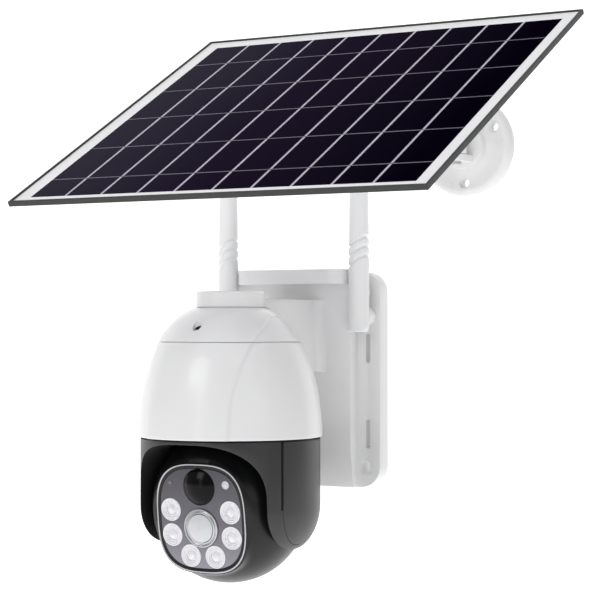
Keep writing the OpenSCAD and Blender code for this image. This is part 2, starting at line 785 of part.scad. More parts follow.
module panel_frame() color([0.13, 0.13, 0.14]) slope() translate([0, 0, panel_off - panel_t / 2]) difference() {
    translate([-panel_l / 2, -panel_w / 2, 0]) cube([panel_l, panel_w, panel_t]);
    translate([-panel_l / 2 + 1.2, -panel_w / 2 + 1.2, 1.2])
        cube([panel_l - 2.4, panel_w - 2.4, panel_t - 1.9]);
    translate([-panel_l / 2 + lip_w, -panel_w / 2 + lip_w, 1])
        cube([panel_l - 2 * lip_w, panel_w - 2 * lip_w, panel_t]);
    for (x = [-1, 1], y = [-1, 1]) translate([x * 23, y * 15, -1]) cylinder(r = 1.8, h = 4);
}

module panel_laminate() color([0.1, 0.08, 0.14]) slope() translate([0, 0, panel_off - panel_t / 2])
    translate([-panel_l / 2 + 1.3, -panel_w / 2 + 1.3, 1.3])
        cube([panel_l - 2.6, panel_w - 2.6, panel_t - 2.1]);

module junction_box() color("black") slope() translate([0, 62, panel_off - panel_t / 2 - 12.01]) difference() {
    union() {
        linear_extrude(12) round_rect(62, 40, 4);
        translate([-31, 0, 6]) rotate([0, -90, 0]) cylinder(r = 4, h = 6);
    }
    translate([-29, 0, 6]) rotate([0, -90, 0]) cylinder(r = 2, h = 20);
}

wall_plate();
plate_gasket();
arm_housing();
cover_screws();
antenna_board();
power_inlet();
power_button();
antenna_posts();
cap();
cap_screw();
cap_bolts();
shroud();
rim_seal();
chassis();
chassis_screws();
battery_cells();
battery_holder();
main_board();
pan_motor();
pan_bearing();
panel_flange();
swing_pin();
antenna_left();
antenna_right();
pan_pinion();
yoke_frame();
side_cover_left();
side_cover_right();
yoke_screws();
pan_gear();
pan_spindle();
spindle_nut();
tilt_pivots();
sun_gear();
tilt_pinion();
ball_front();
ball_rear();
ball_screws();
bezel_ring();
window();
led_lenses();
led_board();
lens_dome();
lens_barrel();
sensor_board();
pir_ring();
pir_lens();
light_sensors();
tilt_motor();
speaker();
panel_arm();
turn_pin();
knuckle();
tilt_pin();
tilt_knob();
panel_bracket();
bracket_screws();
panel_frame();
panel_laminate();
junction_box();
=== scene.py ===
"""Looks for the solar-powered pan and tilt security camera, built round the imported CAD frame."""

import json
from math import cos, degrees, pi, radians, sin, sqrt

import bmesh
import bpy
from mathutils import Matrix, Vector


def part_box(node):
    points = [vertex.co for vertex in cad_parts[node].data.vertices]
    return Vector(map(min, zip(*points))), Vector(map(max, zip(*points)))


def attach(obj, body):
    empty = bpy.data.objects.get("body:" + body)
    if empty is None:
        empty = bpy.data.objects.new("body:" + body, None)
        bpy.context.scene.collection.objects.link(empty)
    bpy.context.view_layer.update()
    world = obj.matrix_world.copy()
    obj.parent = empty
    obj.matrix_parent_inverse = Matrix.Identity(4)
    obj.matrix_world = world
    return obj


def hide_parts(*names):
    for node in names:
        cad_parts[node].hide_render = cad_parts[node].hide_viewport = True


MM = 0.001
TAU = 2 * pi
NEAR_AXIS = 0.0001    # radius in mm where a turned shape closes on its axis

VIEW_AZIMUTH = radians(29.5)
VIEW_PITCH = radians(0.94)
VIEW_FROM = (0.5872, -1.0496, 0.0314)
LENS_MM = 113.64
SKY_STRENGTH = 0.38
FLOOR_GLOW = 0.62

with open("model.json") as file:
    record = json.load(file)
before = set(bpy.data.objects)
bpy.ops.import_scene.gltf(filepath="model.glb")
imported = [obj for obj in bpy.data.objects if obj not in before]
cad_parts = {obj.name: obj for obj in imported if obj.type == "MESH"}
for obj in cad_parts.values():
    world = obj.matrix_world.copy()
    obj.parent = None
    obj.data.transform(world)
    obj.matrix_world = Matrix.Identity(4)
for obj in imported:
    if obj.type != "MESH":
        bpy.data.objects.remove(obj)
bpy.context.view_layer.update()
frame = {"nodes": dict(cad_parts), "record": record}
NODES = frame["nodes"]
scene = bpy.context.scene


# ---------------------------------------------------------------- shared places, from the frame

def joint(name):
    """The record's entry for a joint."""
    return next(j for j in frame["record"]["behaviour"]["joints"] if j["name"] == name)


PAN = Vector(joint("head_pan")["pos_m"])
TILT = Vector(joint("head_tilt")["pos_m"])


# ---------------------------------------------------------------- node-based materials

class Look:
    """A material with one Principled shader, and short calls that add procedural detail."""

    def __init__(self, name, color, rough, **sockets):
        self.mat = bpy.data.materials.new(name)
        self.mat.use_nodes = True
        self.tree = self.mat.node_tree
        self.shader = self.tree.nodes["Principled BSDF"]
        self.place = self.tree.nodes.new("ShaderNodeTexCoord").outputs["Object"]
        self.color = tuple(color) + (1,)
        self.set(**{"Base Color": self.color, "Roughness": rough})
        self.set(**sockets)
        self.normal = None

    def set(self, **sockets):
        for key, value in sockets.items():
            self.shader.inputs[key].default_value = value

    def node(self, kind, **settings):
        """A new node; a setting goes to the socket of that name, or else to the property."""
        made = self.tree.nodes.new(kind)
        for key, value in settings.items():
            if key in made.inputs:
                made.inputs[key].default_value = value
            else:
                setattr(made, key, value)
        return made

    def link(self, a, b):
        self.tree.links.new(a, b)

    def noise(self, scale, detail, stretch=(1, 1, 1)):
        """Value noise in object space; a stretch under 1 draws it out along that axis."""
        shift = self.node("ShaderNodeMapping")
        shift.inputs["Scale"].default_value = stretch
        self.link(self.place, shift.inputs["Vector"])
        made = self.node("ShaderNodeTexNoise", Scale=scale, Detail=detail)
        self.link(shift.outputs["Vector"], made.inputs["Vector"])
        return made.outputs["Fac"]

    def across(self, node, axis):
        """0 to 1 from one end of a CAD node's box to the other along an axis."""
        parts = self.node("ShaderNodeSeparateXYZ")
        self.link(self.place, parts.inputs["Vector"])
        low, high = (corner["XYZ".index(axis)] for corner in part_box(node))
        made = self.node("ShaderNodeMapRange", **{"From Min": low, "From Max": high})
        self.link(parts.outputs[axis], made.inputs["Value"])
        return made.outputs["Result"]

    def ramp(self, value, stops):
        """Colour from a value, by (position, colour) stops."""
        made = self.node("ShaderNodeValToRGB")
        points = made.color_ramp.elements
        while len(points) < len(stops):
            points.new(0.5)
        for point, (at, color) in zip(points, stops):
            point.position = at
            point.color = tuple(color) + (1,)
        self.link(value, made.inputs["Fac"])
        return made.outputs["Color"]

    def tint(self, scale, amount, stretch=(1, 1, 1)):
        """Slow variation in brightness round the base colour."""
        dark = [c * (1 - amount) for c in self.color[:3]]
        light = [min(1, c * (1 + amount)) for c in self.color[:3]]
        color = self.ramp(self.noise(scale, 4, stretch), [(0.3, dark), (0.7, light)])
        self.link(color, self.shader.inputs["Base Color"])
        return self

    def uneven(self, scale, low, high):
        """Roughness that varies a little over the surface."""
        made = self.node("ShaderNodeMapRange", **{"To Min": low, "To Max": high})
        self.link(self.noise(scale, 5), made.inputs["Value"])
        self.link(made.outputs["Result"], self.shader.inputs["Roughness"])
        return self

    def grain(self, scale, depth, strength=0.3, stretch=(1, 1, 1)):
        """Fine bump; depth in metres."""
        made = self.node("ShaderNodeBump", Strength=strength, Distance=depth)
        self.link(self.noise(scale, 2, stretch), made.inputs["Height"])
        if self.normal:
            self.link(self.normal, made.inputs["Normal"])
        self.normal = made.outputs["Normal"]
        self.link(self.normal, self.shader.inputs["Normal"])
        return self


def plastic(name, color, rough, texture=700, depth=0.00002, coat=0.0, tint=0.015, wear=0.12,
            specular=0.5):
    """Moulded plastic; texture is the scale of its grain, wear the spread of its roughness."""
    look = Look(name, color, rough, **{"Coat Weight": coat, "Coat Roughness": 0.08, "IOR": 1.5,
                                       "Specular IOR Level": specular})
    look.tint(18, tint).uneven(60, rough * (1 - wear), rough * (1 + wear))
    return look.grain(texture, depth).mat


def metal(name, color, rough, stretch=(1, 1, 1)):
    """Machined or plated metal, brushed where stretch isn't even."""
    look = Look(name, color, rough, **{"Metallic": 1.0})
    look.tint(40, 0.06).uneven(150, rough * 0.7, rough * 1.4)
    return look.grain(900, 0.00002, 0.25, stretch).mat


WHITE = plastic("white_shell", (0.80, 0.80, 0.805), 0.28, 900, 0.000004, 0.25, 0.004, 0.03)
ANTENNA = plastic("antenna_white", (0.83, 0.83, 0.835), 0.38, 1100, 0.000006, 0.0, 0.006, 0.05)
POWDER = plastic("white_powder_coat", (0.80, 0.80, 0.80), 0.42, 1800, 0.00003)
BLACK = plastic("black_shell", (0.028, 0.028, 0.030), 0.36, 1500, 0.00002, 0.0, 0.1)
COVER = plastic("black_cover", (0.032, 0.032, 0.034), 0.4, 1800, 0.00002, 0.0, 0.1)
GLOSS = plastic("black_gloss", (0.005, 0.005, 0.006), 0.3, 600, 0.000004, 0.0, 0.1,
                specular=0.35)
TRIM = plastic("black_trim", (0.03, 0.03, 0.031), 0.5, 2200, 0.00003, 0.0, 0.1)
RUBBER = plastic("seal_rubber", (0.02, 0.02, 0.02), 0.75, 2600, 0.00004, 0.0, 0.15)
STEEL = metal("screw_steel", (0.62, 0.62, 0.63), 0.3)
CAN = metal("motor_steel", (0.5, 0.5, 0.52), 0.36, (1, 1, 30))
ACETAL = plastic("gear_nylon", (0.80, 0.77, 0.66), 0.45, 900, 0.00002)
CHASSIS = plastic("chassis_plastic", (0.6, 0.6, 0.6), 0.5, 1500, 0.00003)
CHROME = metal("bezel_silver", (0.50, 0.50, 0.52), 0.28)
FRAME = plastic("frame_black", (0.020, 0.022, 0.020), 0.5, 900, 0.00002, 0.0, 0.15)


def circuit_board():
    """Green solder mask with faint tracks."""
    mask, track = (0.015, 0.10, 0.045), (0.04, 0.22, 0.1)
    look = Look("circuit_board", mask, 0.35, **{"Coat Weight": 0.4})
    tracks = look.node("ShaderNodeTexVoronoi", Scale=420, feature="DISTANCE_TO_EDGE")
    look.link(look.place, tracks.inputs["Vector"])
    color = look.ramp(tracks.outputs["Distance"], [(0.02, track), (0.08, mask)])
    look.link(color, look.shader.inputs["Base Color"])
    return look.grain(500, 0.00003).mat


def battery_wrap():
    """Blue shrink sleeve with slow wrinkles."""
    look = Look("battery_wrap", (0.03, 0.16, 0.42), 0.3, **{"Coat Weight": 0.3})
    return look.tint(60, 0.12).grain(160, 0.0001, 0.3, (0.2, 1, 1)).mat


BOARD = circuit_board()
CELL = battery_wrap()


# ---------------------------------------------------------------- mesh helpers

BODIES = frame["record"]["behaviour"]["bodies"]
BODY_OF = {node: body for body, nodes in BODIES.items() for node in nodes}
replaced = set()


def place_mesh(name, bm):
    """Links a mesh as an object with its faces turned outward, and frees the bmesh."""
    mesh = bpy.data.meshes.new(name)
    bmesh.ops.recalc_face_normals(bm, faces=bm.faces)
    bm.to_mesh(mesh)
    bm.free()
    made = bpy.data.objects.new(name, mesh)
    scene.collection.objects.link(made)
    return made


def shade(piece, sharp_angle):
    """Smooth shading that keeps the edges sharper than an angle in degrees."""
    piece.data.shade_smooth()
    piece.data.set_sharp_from_angle(angle=radians(sharp_angle))


def add(name, bm, nodes, mat, smooth_angle=40):
    """Links a mesh as a piece that stands for CAD nodes and rides on their body."""
    piece = place_mesh(name, bm)
    piece.data.materials.append(mat)
    shade(piece, smooth_angle)
    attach(piece, BODY_OF[nodes[0]])
    fresh = [node for node in nodes if node not in replaced]
    if fresh:
        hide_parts(*fresh)
        replaced.update(fresh)
    return piece


def apply_modifiers(piece):
    """Leaves the piece with its modified mesh and no modifiers."""
    graph = bpy.context.evaluated_depsgraph_get()
    mesh = bpy.data.meshes.new_from_object(piece.evaluated_get(graph))
    piece.modifiers.clear()
    piece.data = mesh


def bevel(piece, width):
    """Rounds a piece's sharp edges; width in mm."""
    made = piece.modifiers.new("round", "BEVEL")
    made.width = width * MM
    made.segments = 3
    made.limit_method = "ANGLE"
    made.angle_limit = radians(35)
    made.use_clamp_overlap = True
    made.miter_outer = "MITER_ARC"
    apply_modifiers(piece)
    shade(piece, 50)


def rounded_copy(node, mat, width):
    """A copy of a CAD node's shape with moulded, rounded edges."""
    bm = bmesh.new()
    bm.from_mesh(NODES[node].data)
    bmesh.ops.remove_doubles(bm, verts=bm.verts, dist=2e-6)
    bmesh.ops.dissolve_limit(bm, angle_limit=radians(0.6), verts=bm.verts, edges=bm.edges)
    bevel(add(node + "_moulded", bm, [node], mat), width)


def ring_mesh(rings, closed=False):
    """A skin through rings of points, each ring closed. Closed joins the last ring to the first;
    otherwise both ends are capped."""
    bm = bmesh.new()
    rows = [[bm.verts.new(Vector(p)) for p in ring] for ring in rings]
    pairs = list(zip(rows, rows[1:])) + ([(rows[-1], rows[0])] if closed else [])
    for a, b in pairs:
        for i in range(len(a)):
            j = (i + 1) % len(a)
            bm.faces.new((a[i], a[j], b[j], b[i]))
    if not closed:
        bm.faces.new(rows[0])
        bm.faces.new(rows[-1])
    return bm


def level_ring(place, z, steps, radius):
    """A ring of points round local Z at a height in mm; radius is a function of the angle."""
    ring = []
    for i in range(steps):
        a = TAU * i / steps
        r = radius(a)
        ring.append(place @ Vector((r * cos(a) * MM, r * sin(a) * MM, z * MM)))
    return ring


def turned(profile, steps, place, closed=False):
    """A shape turned about local Z from (radius, height) points in mm."""
    rings = [level_ring(place, z, steps, lambda a, r=r: r) for r, z in profile]
    return ring_mesh(rings, closed=closed)


def arc(cz, r, start, end, steps):
    """Points (radius, height) along an arc round a point on the axis, angles in degrees."""
    angles = [radians(start + (end - start) * i / steps) for i in range(steps + 1)]
    return [(r * cos(a), cz + r * sin(a)) for a in angles]


def smoothstep(low, high, x):
    """0 below low, 1 above high, and a smooth rise between them."""
    t = min(1, max(0, (x - low) / (high - low)))
    return t * t * (3 - 2 * t)


def cut(piece, bm):
    """Cuts a closed mesh out of a piece."""
    cutter = place_mesh("cutter", bm)
    made = piece.modifiers.new("cut", "BOOLEAN")
    made.object = cutter
    made.operation = "DIFFERENCE"
    made.solver = "EXACT"
    apply_modifiers(piece)
    bpy.data.objects.remove(cutter)


def box_mesh(low, high, place):
    """A block between two corners in local metres."""
    bm = bmesh.new()
    bmesh.ops.create_cube(bm, size=1)
    low, high = Vector(low), Vector(high)
    for v in bm.verts:
        v.co = place @ ((low + high) / 2 + Vector(c * s for c, s in zip(v.co, high - low)))
    return bm


def join(*meshes):
    """One bmesh from several."""
    whole = bmesh.new()
    for bm in meshes:
        mesh = bpy.data.meshes.new("part")
        bm.to_mesh(mesh)
        bm.free()
        whole.from_mesh(mesh)
        bpy.data.meshes.remove(mesh)
    return whole


# ---------------------------------------------------------------- camera, light and backdrop

def camera():
    """Long lens, level with the wall plate, to the right of the object's front."""
    data = bpy.data.cameras.new("camera")
    data.lens = LENS_MM
    data.clip_end = 20
    eye = bpy.data.objects.new("camera", data)
    scene.collection.objects.link(eye)
    eye.location = VIEW_FROM
    eye.rotation_euler = (pi / 2 + VIEW_PITCH, 0, VIEW_AZIMUTH)
    scene.camera = eye


def area_light(name, at, target, size, power, size_y=None):
    """A soft square light, or an upright strip where size_y is given."""
    data = bpy.data.lights.new(name, "AREA")
    data.energy = power
    data.size = size
    if size_y:
        data.shape = "RECTANGLE"
        data.size_y = size_y
    light = bpy.data.objects.new(name, data)
    scene.collection.objects.link(light)
    light.location = at
    light.rotation_euler = (Vector(target) - Vector(at)).to_track_quat("-Z", "Y").to_euler()


def studio():
    """A pale sweep that is floor and backdrop in one, a pale sky and four soft lights."""
    world = bpy.data.worlds.new("sky")
    world.use_nodes = True
    sky = world.node_tree.nodes["Background"].inputs
    sky["Color"].default_value = (1, 1, 1, 1)
    sky["Strength"].default_value = SKY_STRENGTH
    scene.world = world
    scene.view_settings.view_transform = "Standard"

    floor_z, back, bend, half = -0.46, 4.0, 1.2, 9.0
    rows = [(-back, 0.0), (back - bend, 0.0)]
    rows += [(back - bend + bend * sin(a), bend - bend * cos(a))
             for a in (pi / 2 * i / 12 for i in range(1, 13))]
    rows += [(back, 8.0)]
    bm = bmesh.new()
    turn = Matrix.Rotation(VIEW_AZIMUTH, 4, "Z")
    lines = [[bm.verts.new(turn @ Vector((x, y, floor_z + z))) for x in (-half, half)]
             for y, z in rows]
    for a, b in zip(lines, lines[1:]):
        bm.faces.new((a[0], a[1], b[1], b[0]))
    mesh = bpy.data.meshes.new("floor")
    bm.to_mesh(mesh)
    bm.free()
    mesh.shade_smooth()
    look = Look("pale_floor", (0.93, 0.93, 0.93), 0.9)
    look.set(**{"Emission Color": (1, 1, 1, 1), "Emission Strength": FLOOR_GLOW})
    mesh.materials.append(look.mat)
    floor = bpy.data.objects.new("floor", mesh)
    scene.collection.objects.link(floor)

    middle = (0, -0.08, 0)
    area_light("key", (-0.5, -1.9, 1.1), middle, 0.9, 8)
    area_light("top", (0.2, -0.7, 1.9), middle, 1.2, 10)
    area_light("side", (1.9, -0.9, 0.5), middle, 0.7, 1.0)
    area_light("front_strip", (-0.25, -1.9, 0.1), (0, -0.1, -0.05), 0.3, 1.2, 1.2)


camera()
studio()


# ---------------------------------------------------------------- solar panel

def face_axes(node, toward):
    """Axes of a flat node: along the wall, up its slope, and the normal of its largest face
    that looks toward a direction."""
    faces = [p for p in NODES[node].data.polygons if p.normal.dot(Vector(toward)) > 0.3]
    top = max(faces, key=lambda p: p.area)
    normal = top.normal.normalized()
    across = Vector((1, 0, 0))
    along = normal.cross(across)
    return across, along, normal


def frame_at(origin, across, along, normal):
    """Matrix that places local X, Y, Z axes at a point."""
    made = Matrix((across, along, normal)).transposed().to_4x4()
    made.translation = origin
    return made


def span(node, axis):
    """Lowest and highest reach of a node along an axis."""
    reach = [v.co.dot(axis) for v in NODES[node].data.vertices]
    return min(reach), max(reach)


def solar_glass():
    """Dark silicon cells under clear glass, with a faint violet tone of their own, lightened by a
    painted reflection at one end of the sheet that fades out towards the other.
    """
    look = Look("solar_cells", (0.012, 0.008, 0.020), 0.36, **{"Specular IOR Level": 0.0})
    # painted reflection: a ramp along the sheet, lighter violet at one end and near black at the
    # other, with a little noise
    mix = look.node("ShaderNodeMath", operation="MULTIPLY_ADD")
    look.link(look.noise(9, 4), mix.inputs[0])
    mix.inputs[1].default_value = 0.12
    look.link(look.across("panel_laminate", "X"), mix.inputs[2])
    color = look.ramp(mix.outputs["Value"], [(0.0, (0.040, 0.036, 0.054)),
                                             (0.5, (0.013, 0.009, 0.022)),
                                             (1.0, (0.002, 0.001, 0.005))])
    look.link(color, look.shader.inputs["Base Color"])
    return look.grain(2500, 0.000004, 0.2).mat


def panel_white():
    """White backing sheet that shows round the cells."""
    look = Look("panel_backing", (0.88, 0.88, 0.90), 0.4, **{"Specular IOR Level": 0.2})
    return look.tint(30, 0.02).grain(800, 0.000004).mat


def solder():
    """Bright gap between two strips of cells."""
    look = Look("solder_line", (0.46, 0.43, 0.52), 0.4, **{"Specular IOR Level": 0.2})
    return look.tint(200, 0.12, (0.1, 1, 1)).mat


def busbar():
    """Thin dark conductor across the strips."""
    look = Look("busbar", (0.10, 0.09, 0.13), 0.45, **{"Specular IOR Level": 0.2})
    return look.tint(300, 0.2, (0.1, 1, 1)).mat


# The panel's face in mm from its middle: edges of the dark area, strips of cells and busbars
LEFT, RIGHT, NEAR, FAR = -114.0, 116.3, -110.5, 105.5
STRIPS, GAP_W = 10, 1.5
BUSBARS, BAR_W, BAR_FIRST, BAR_PITCH = 5, 1.0, -88.5, 41.2


def panel():
    """Frame and laminate, in the axes of the CAD panel."""
    across, along, normal = face_axes("panel_laminate", (0, -0.4, 1))
    low_u, high_u = span("panel_frame", across)
    low_v, high_v = span("panel_frame", along)
    low_n, high_n = span("panel_frame", normal)
    middle = across * (low_u + high_u) / 2 + along * (low_v + high_v) / 2 + normal * low_n
    place = frame_at(middle, across, along, normal)
    half_l, half_w = (high_u - low_u) / 2 / MM, (high_v - low_v) / 2 / MM
    thick = (high_n - low_n) / MM

    def slab(x0, x1, y0, y1, z0, z1):
        return box_mesh((x0 * MM, y0 * MM, z0 * MM), (x1 * MM, y1 * MM, z1 * MM), place)

    # frame: a mitred bar with a lip over the laminate and a foot under it, as (inset, height)
    section = [(0, 0), (0, thick - 0.3), (0.3, thick), (1.2, thick), (1.5, thick - 0.3),
               (1.5, thick - 0.75), (1.3, thick - 0.8), (1.3, 1.0), (7, 1.0), (7, 0)]
    rings = [[place @ Vector((sx * (half_l - inset) * MM, sy * (half_w - inset) * MM, z * MM))
              for inset, z in section] for sx, sy in [(-1, -1), (1, -1), (1, 1), (-1, 1)]]
    bar = ring_mesh(rings, closed=True)
    add("panel_frame_bar", bar, ["panel_frame"], FRAME, smooth_angle=30)

    # laminate: white backing, dark strips, bright gaps between them and thin busbars across them
    top = thick - 0.8
    backing = slab(-half_l + 1.5, half_l - 1.5, -half_w + 1.5, half_w - 1.5, 1.1, top - 0.12)
    add("panel_backing_sheet", backing, ["panel_laminate"], panel_white())
    pitch = (RIGHT - LEFT) / STRIPS
    strips, gaps, bars = [], [], []
    for i in range(STRIPS):
        left = LEFT + i * pitch + (GAP_W / 2 if i else 0)
        right = LEFT + (i + 1) * pitch - (GAP_W / 2 if i < STRIPS - 1 else 0)
        strips.append(slab(left, right, NEAR, FAR, top - 0.12, top - 0.02))
    for i in range(1, STRIPS):
        x = LEFT + i * pitch
        gaps.append(slab(x - GAP_W / 2, x + GAP_W / 2, NEAR, FAR, top - 0.11, top - 0.03))
    for i in range(BUSBARS):
        y = BAR_FIRST + i * BAR_PITCH
        bars.append(slab(LEFT, RIGHT, y - BAR_W / 2, y + BAR_W / 2, top - 0.03, top))
    add("panel_cells", join(*strips), ["panel_laminate"], solar_glass())
    add("panel_cell_gaps", join(*gaps), ["panel_laminate"], solder())
    add("panel_busbars", join(*bars), ["panel_laminate"], busbar())


# ---------------------------------------------------------------- cap and shroud

# The CAD dome in mm, and the creases that bound its sunk side panels
DOME_R, DOME_FOOT, DOME_RISE, DOME_POWER = 55.5, -34.0, 80.0, 2.9
RIM_Z, SEAM_Z, SKIN = -32.0, 23.5, 2.2
CREASE_TOP, CREASE_RIM_ANGLE, CREASE_DEPTH = 39.0, 61.0, 1.3
SHELL_STEPS = 360


def dome_r(z, inset=0.0):
    """Radius of the dome at a height, drawn in from its outer skin by inset."""
    flat = 1 - ((z - DOME_FOOT) / (DOME_RISE - inset)) ** 2
    return (DOME_R - inset) * flat ** (1 / DOME_POWER)


def side_panel(a, z):
    """0 on the proud front and back, 1 on the sunk side panels, whose edges arch to a top."""
    t = min(1.0, max(0.0, (z - RIM_Z) / (CREASE_TOP - RIM_Z)))
    reach = CREASE_RIM_ANGLE * (1 - t ** 2.6) ** 0.5
    off_side = min(abs(degrees(a) - side) for side in (0, 180, 360))
    return smoothstep(0, 2.6, reach - off_side)


def shell(name, nodes, low, high, edge, rows, hole_r=None):
    """A dome shell between two heights. The outer skin has the side panels and an edge chamfered
    by edge at its top; the inner skin is plain. With hole_r it has a flat roof with a hole."""
    place = Matrix.Translation((PAN.x, PAN.y, 0))
    levels = [low + (high - low) * i / rows for i in range(rows + 1)]
    skin = [(dome_r(low, 0.45), low), (dome_r(low, 0.12), low + 0.12)]
    skin += [(dome_r(z), z) for z in [low + 0.4] + levels[1:-1] + [high - edge]]
    skin += [(dome_r(high) - edge, high)]
    roof = []
    lining = [(dome_r(z, SKIN), z) for z in reversed(levels[1:])]
    if hole_r:
        roof = [(hole_r, high), (hole_r, high - SKIN)]
        lining = [(r, z) for r, z in lining if z < high - SKIN]

    def plain(r, z):
        return level_ring(place, z, SHELL_STEPS, lambda a: r)

    def creased(r, z):
        return level_ring(place, z, SHELL_STEPS, lambda a: r - CREASE_DEPTH * side_panel(a, z))

    rings = [plain(dome_r(low, SKIN), low)] + [creased(*p) for p in skin]
    rings += [plain(*p) for p in roof + lining]
    return add(name, ring_mesh(rings, closed=True), nodes, WHITE, smooth_angle=50)


def head_shells():
    """Shroud, and cap with the well of its screw."""
    shell("shroud_shell", ["shroud"], RIM_Z, SEAM_Z, 0.35, 44)
    cap_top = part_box("cap")[1][2] / MM
    cap = shell("cap_shell", ["cap"], SEAM_Z + 0.2, cap_top, 0.3, 24, hole_r=8.0)
    low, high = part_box("cap_screw")
    middle = Matrix.Translation(((low[0] + high[0]) / 2, (low[1] + high[1]) / 2, 0))
    cut(cap, turned([(2.8, 28.5), (2.8, 60)], 48, middle))
    cap.data.materials.clear()
    cap.data.materials.append(WHITE)


panel()
head_shells()


# ---------------------------------------------------------------- camera ball

def ball_frame():
    """Axes of the ball: X across, Z up the face, -Y out of the face, origin on the tilt axis."""
    faces = [p for p in NODES["window"].data.polygons if p.normal.y < -0.5]
    look = max(faces, key=lambda p: p.area).normal.normalized()
    across = Vector((1, 0, 0))
    made = Matrix((across, -look, across.cross(-look))).transposed().to_4x4()
    made.translation = TILT
    return made


# The CAD ball and its face in mm
BALL = ball_frame()
BALL_R, BALL_SEAM, BALL_SHELL = 46.1, 8.0, 2.4
FACE_Y, FACE_W, FACE_H, FACE_POWER, FACE_DROP = -33.0, 61.4, 65.2, 3.0, 2.0
OUTWARD = Matrix.Rotation(pi / 2, 4, "X")    # local Z of a turned shape points out of the face
BACKWARD = Matrix.Rotation(-pi / 2, 4, "X")
SEAM_AIR = 0.1    # half of the line between the ball's two halves
FACE_STEPS = 144


def face_r(a, shrink=0.0):
    """Radius of the face's outline, a square with swollen sides, drawn in by shrink."""
    c, s = abs(cos(a)), abs(sin(a))
    w, h = FACE_W / 2 - shrink, FACE_H / 2 - shrink
    return ((c / w) ** FACE_POWER + (s / h) ** FACE_POWER) ** (-1 / FACE_POWER)


def face_ring(y, radius):
    """Ring of points round the face axis at depth y; radius is a function of the angle."""
    ring = []
    for i in range(FACE_STEPS):
        a = TAU * i / FACE_STEPS
        r = radius(a)
        ring.append(BALL @ Vector((r * cos(a) * MM, y * MM, (r * sin(a) - FACE_DROP) * MM)))
    return ring


def face_rings(section):
    """Rings that follow the face's outline, from (shrink, depth) points."""
    return [face_ring(y, lambda a, shrink=shrink: face_r(a, shrink)) for shrink, y in section]


def ball_section(a, y):
    """Distance from the face axis to the ball's skin at depth y."""
    flat = BALL_R ** 2 - y * y - (FACE_DROP * cos(a)) ** 2
    return sqrt(flat) + FACE_DROP * sin(a)


def blend_max(a, b, soft):
    """The larger of two radii, rounded where they cross."""
    h = max(0.0, soft - abs(a - b)) / soft
    return max(a, b) + h * h * soft / 4


def ball_front():
    """Front half of the ball: the sphere swells into the square face, which has a rounded
    rim under the bezel and a recess for the window."""
    seam, rows = BALL_SEAM - SEAM_AIR, 34
    rings = []
    for i in range(rows + 1):
        y = seam - (seam - FACE_Y - 1.2) * (i / rows)
        swell = 0.80 + 0.20 * (1 - smoothstep(-30, -14, y))
        rings.append(face_ring(y, lambda a: blend_max(ball_section(a, y), face_r(a) * swell, 3.0)))
    rings += face_rings([(0.15, FACE_Y + 0.6), (0.4, FACE_Y + 0.25), (0.72, FACE_Y + 0.05),
                         (1.72, FACE_Y + 0.05), (2.0, FACE_Y + 0.15), (2.9, FACE_Y + 0.15),
                         (3.2, FACE_Y + 0.3), (3.3, FACE_Y + 3.6), (4.6, FACE_Y + 3.6),
                         (6.0, seam)])
    add("ball_front_shell", ring_mesh(rings, closed=True), ["ball_front"], GLOSS)


def face_trim():
    """Bright bezel ring round the window."""
    rings = face_rings([(0.8, FACE_Y + 1.4), (0.8, FACE_Y - 0.1), (0.95, FACE_Y - 0.28),
                        (1.45, FACE_Y - 0.28), (1.6, FACE_Y - 0.1), (1.6, FACE_Y + 1.4)])
    add("bezel_ring_trim", ring_mesh(rings, closed=True), ["bezel_ring"], CHROME)


def smoked():
    """Smoked window with a painted reflection that leaves it darker at its top and greyer and
    lighter towards its foot.
    """
    look = Look("smoked_window", (0.16, 0.15, 0.19), 0.3, **{"Coat Weight": 0.3,
                                                             "Coat Roughness": 0.1})
    # painted reflection: a ramp up the window, lighter and greyer at its foot, darker at its top
    color = look.ramp(look.across("window", "Z"), [(0.0, (0.26, 0.25, 0.29)),
                                                   (0.45, (0.11, 0.10, 0.13)),
                                                   (1.0, (0.030, 0.027, 0.038))])
    look.link(color, look.shader.inputs["Base Color"])
    return look.uneven(70, 0.16, 0.26).grain(700, 0.000004, 0.15).mat


# Places on the face as (across, up), and radii, in mm
LENS_AT = (0.0, 18.4)
PIR_AT = (0.0, -5.5)
LED_AT = [(s * x, z) for s in (-1, 1) for x, z in ((20.1, 4.5), (20.1, -10.3), (8.3, -22.0))]
SENSOR_AT, STATUS_AT = (-19.6, 20.6), (18.0, 20.3)
LENS_R, PIR_R, LED_R = 10.5, 11.3, 6.7


def spot(at):
    """Matrix for a turned shape on the face, whose heights are measured out of the face."""
    across, up = at
    return BALL @ Matrix.Translation((across * MM, FACE_Y * MM, (up - FACE_DROP) * MM)) @ OUTWARD


def window():
    """Flat plate with a hole for each lens and sensor."""
    rings = face_rings([(3.35, FACE_Y + 2.0), (3.35, FACE_Y + 0.25), (3.6, FACE_Y)])
    piece = add("smoked_window_plate", ring_mesh(rings), ["window"], smoked())
    holes = [(LENS_AT, LENS_R + 0.05), (PIR_AT, PIR_R + 0.05), (SENSOR_AT, 1.35),
             (STATUS_AT, 2.45)] + [(at, LED_R + 0.1) for at in LED_AT]
    for at, r in holes:
        cut(piece, turned([(r, -6), (r, 6)], 72, spot(at)))
    piece.data.shade_flat()


def led_plastic():
    """Ribbed lens, pale with a faint violet tone."""
    look = Look("led_clear", (0.80, 0.79, 0.83), 0.25, **{"Coat Weight": 0.3})
    return look.tint(500, 0.08).grain(1500, 0.00001, 0.3).mat


